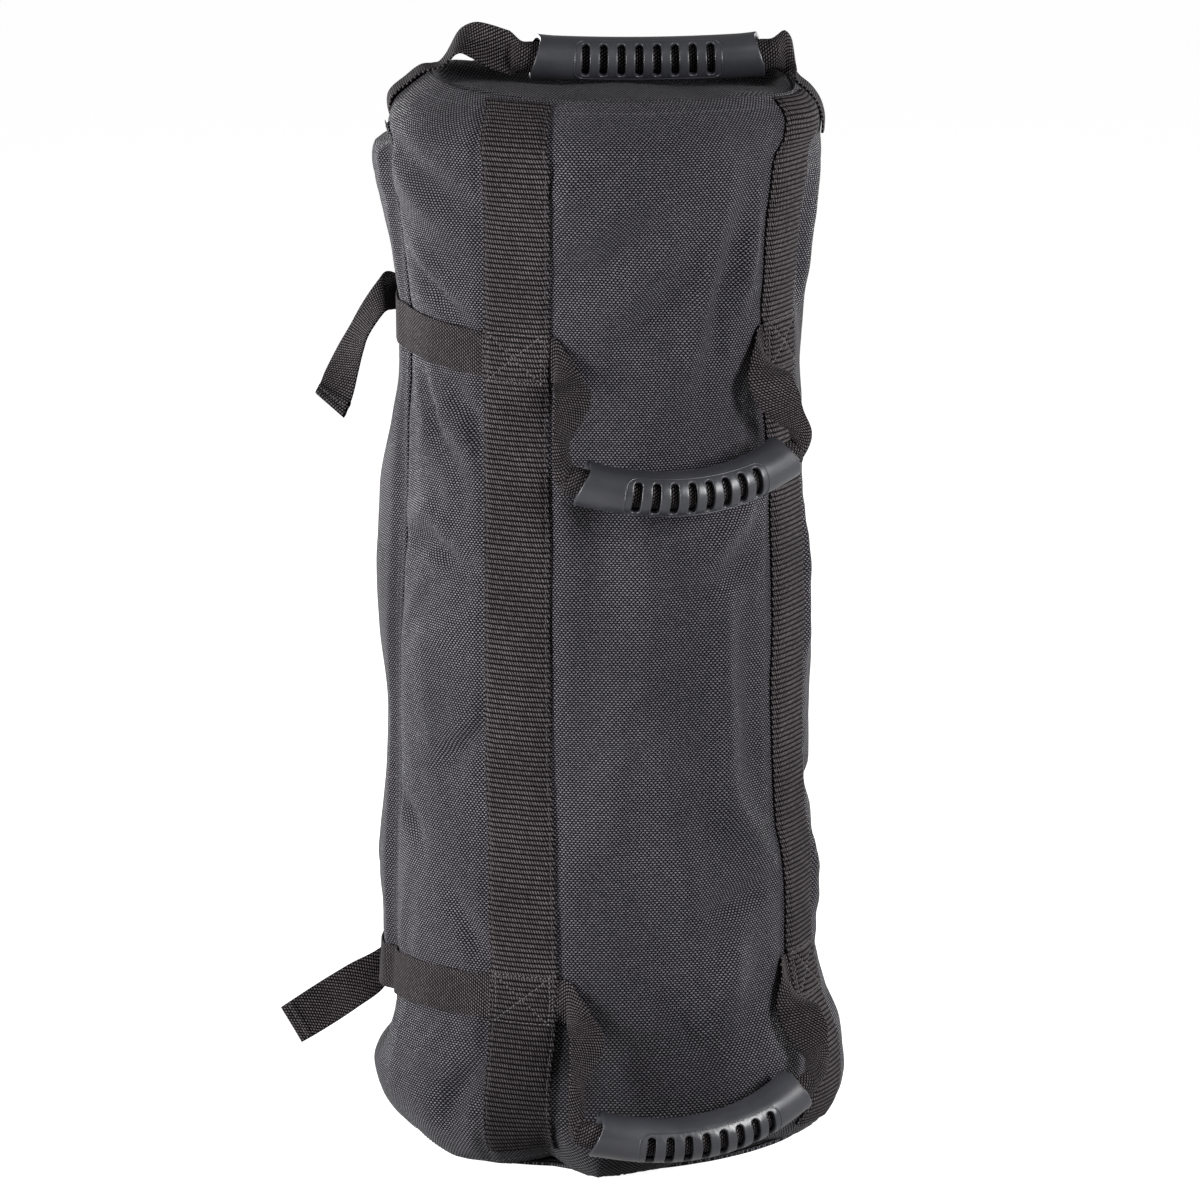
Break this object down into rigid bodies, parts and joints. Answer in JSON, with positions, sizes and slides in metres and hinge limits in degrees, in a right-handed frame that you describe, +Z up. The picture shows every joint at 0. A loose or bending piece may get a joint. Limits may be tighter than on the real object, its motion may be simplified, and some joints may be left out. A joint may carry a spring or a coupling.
{
  "type": "sandbag trainer",
  "caption": "Cylindrical cloth training sandbag, standing on its end, with sleeved carry handles, cinch straps with side-release buckles, a zipped opening under a flap and inner bags of sand.",
  "frame": {"origin": "centre of the flat base, on the floor that the bag stands on", "axes": "+Z up along the bag's length; -Y towards the side with the cross handles; +X to the right of that side"},
  "size_m": [0.2964, 0.3004, 0.6362],
  "materials": {
    "cloth": "charcoal heavy coated polyester with a staggered weave and a soft sheen",
    "webbing": "dark grey ribbed polyester webbing, matte",
    "grip_rubber": "satin dark grey moulded sleeve",
    "buckle_plastic": "black moulded plastic, satin",
    "zip_plastic": "black woven tape and nylon coil",
    "zip_metal": "grey painted zinc",
    "inner_cloth": "plain grey woven nylon",
    "sand": "dry loose sand"
  },
  "bodies": {
    "bag": {"barrel_panel": "cloth", "top_panel": "cloth", "bottom_panel": "cloth", "top_seam_tape": "webbing", "bottom_seam_tape": "webbing", "left_long_strap": "webbing", "right_long_strap": "webbing", "zip_flap": "cloth", "zip_tape_front": "zip_plastic", "zip_tape_rear": "zip_plastic", "zip_coil_front": "zip_plastic", "zip_coil_rear": "zip_plastic", "zip_bottom_stop": "zip_metal", "zip_top_stop": "zip_metal", "upper_cinch_strap": "webbing", "upper_buckle_socket": "buckle_plastic", "upper_anchor_strap": "webbing", "lower_cinch_strap": "webbing", "lower_buckle_socket": "buckle_plastic", "lower_anchor_strap": "webbing", "inner_bag_1": "inner_cloth", "inner_closure_1": "webbing", "sand_fill_1": "sand", "inner_bag_2": "inner_cloth", "inner_closure_2": "webbing", "sand_fill_2": "sand", "inner_bag_3": "inner_cloth", "inner_closure_3": "webbing", "sand_fill_3": "sand"},
    "upper_handle": {"upper_handle_grip": "grip_rubber", "upper_handle_webbing": "webbing"},
    "lower_handle": {"lower_handle_grip": "grip_rubber", "lower_handle_webbing": "webbing"},
    "top_handle": {"top_grip": "grip_rubber", "top_handle_webbing": "webbing"},
    "slider": {"zip_slider": "zip_metal"},
    "pull": {"zip_pull": "zip_metal"},
    "upper_plug": {"upper_buckle_plug": "buckle_plastic"},
    "lower_plug": {"lower_buckle_plug": "buckle_plastic"}
  },
  "joints": [
    {"name": "upper_handle_swing", "type": "hinge", "parent": "bag", "child": "upper_handle", "pos_m": [0, -0.09606, 0.461], "axis": [-1, 0, 0], "range_deg": [0, 120], "deforming": ["upper_handle_webbing"]},
    {"name": "lower_handle_swing", "type": "hinge", "parent": "bag", "child": "lower_handle", "pos_m": [0.00029, -0.1065, 0.1], "axis": [-1, 0, 0], "range_deg": [0, 120], "deforming": ["lower_handle_webbing"]},
    {"name": "top_handle_lift", "type": "slide", "parent": "bag", "child": "top_handle", "axis": [0, 0, 1], "range_m": [0, 0.025], "deforming": ["top_handle_webbing"]},
    {"name": "zip_travel", "type": "slide", "parent": "bag", "child": "slider", "axis": [0, 0, 1], "range_m": [0, 0.431]},
    {"name": "zip_pull_swing", "type": "hinge", "parent": "slider", "child": "pull", "pos_m": [-0.09409, 0.04189, 0.10815], "axis": [0.4067, 0.9135, 0], "range_deg": [0, 15]},
    {"name": "upper_buckle_release", "type": "slide", "parent": "bag", "child": "upper_plug", "axis": [-0.8387, -0.5446, 0], "range_m": [0, 0.025], "deforming": ["upper_cinch_strap"]},
    {"name": "lower_buckle_release", "type": "slide", "parent": "bag", "child": "lower_plug", "axis": [-0.8387, -0.5446, 0], "range_m": [0, 0.025], "deforming": ["lower_cinch_strap"]}
  ]
}
